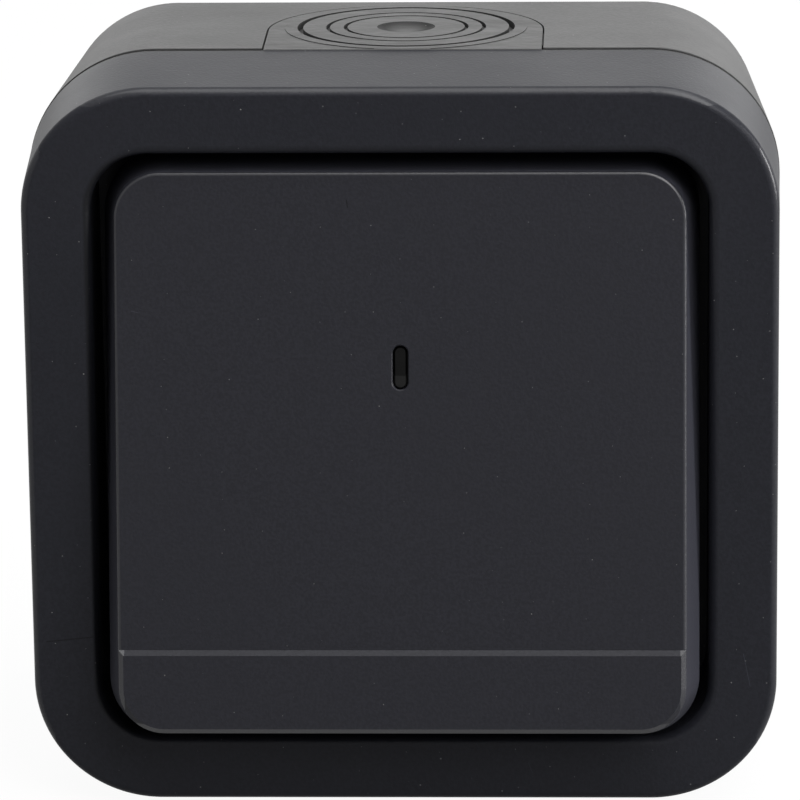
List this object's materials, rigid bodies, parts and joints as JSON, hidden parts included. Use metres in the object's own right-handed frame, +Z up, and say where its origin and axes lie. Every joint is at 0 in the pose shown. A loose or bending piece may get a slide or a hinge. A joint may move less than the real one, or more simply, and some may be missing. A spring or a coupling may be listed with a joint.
{
  "type": "surface-mounted weatherproof rocker switch",
  "caption": "Surface-mounted weatherproof rocker switch in anthracite: tapered back box with soft cable entries, cover frame and one large tilting rocker with an indicator window.",
  "frame": {"origin": "middle of the wall face, in the plane that meets the wall", "axes": "front towards -Y, +X to the right as seen from the front, +Z up"},
  "size_m": [0.0766, 0.0506, 0.0766],
  "materials": {
    "box_plastic": "fine spark-eroded black",
    "entry_rubber": "soft matt black",
    "cover_plastic": "satin anthracite",
    "smoked_lens": "smoked and clear",
    "seal_rubber": "soft black",
    "carrier_plastic": "off-white moulded",
    "mechanism_plastic": "dark grey moulded",
    "zinc_steel": "zinc-plated",
    "spring_steel": "bright wire",
    "contact_brass": "stamped",
    "lamp_glass": "clear"
  },
  "bodies": {
    "housing": {"rear_box": "box_plastic", "entry_membrane_top": "entry_rubber", "entry_membrane_bottom": "entry_rubber", "box_gasket": "seal_rubber", "front_cover": "cover_plastic", "support_frame": "zinc_steel", "mechanism_base": "mechanism_plastic", "mechanism_lid": "mechanism_plastic", "lid_rivets": "zinc_steel", "centre_contact": "contact_brass", "fixed_contact_upper": "contact_brass", "fixed_contact_lower": "contact_brass", "terminal_clamps": "contact_brass", "terminal_screws": "zinc_steel", "frame_screws": "zinc_steel", "cover_screws": "zinc_steel", "wall_hole_seals": "seal_rubber", "rocker_seal": "seal_rubber", "lamp_holder": "carrier_plastic", "indicator_lamp": "lamp_glass", "earth_terminal": "contact_brass"},
    "rocker_assembly": {"rocker": "cover_plastic", "indicator_lens": "smoked_lens", "rocker_carrier": "carrier_plastic", "plunger": "carrier_plastic", "plunger_spring": "spring_steel"},
    "moving_contact": {"contact_rocker": "contact_brass"}
  },
  "joints": [
    {"name": "rocker_tilt", "type": "hinge", "parent": "housing", "child": "rocker_assembly", "pos_m": [0, -0.04059, 0], "axis": [1, 0, 0], "range_deg": [0, 19]},
    {"name": "contact_flip", "type": "hinge", "parent": "housing", "child": "moving_contact", "pos_m": [0, -0.01999, 0], "axis": [1, 0, 0], "range_deg": [-16.1, 0]}
  ],
  "couplings": [
    {"joint": "contact_flip", "follows": "rocker_tilt", "ratio": -0.8421}
  ]
}
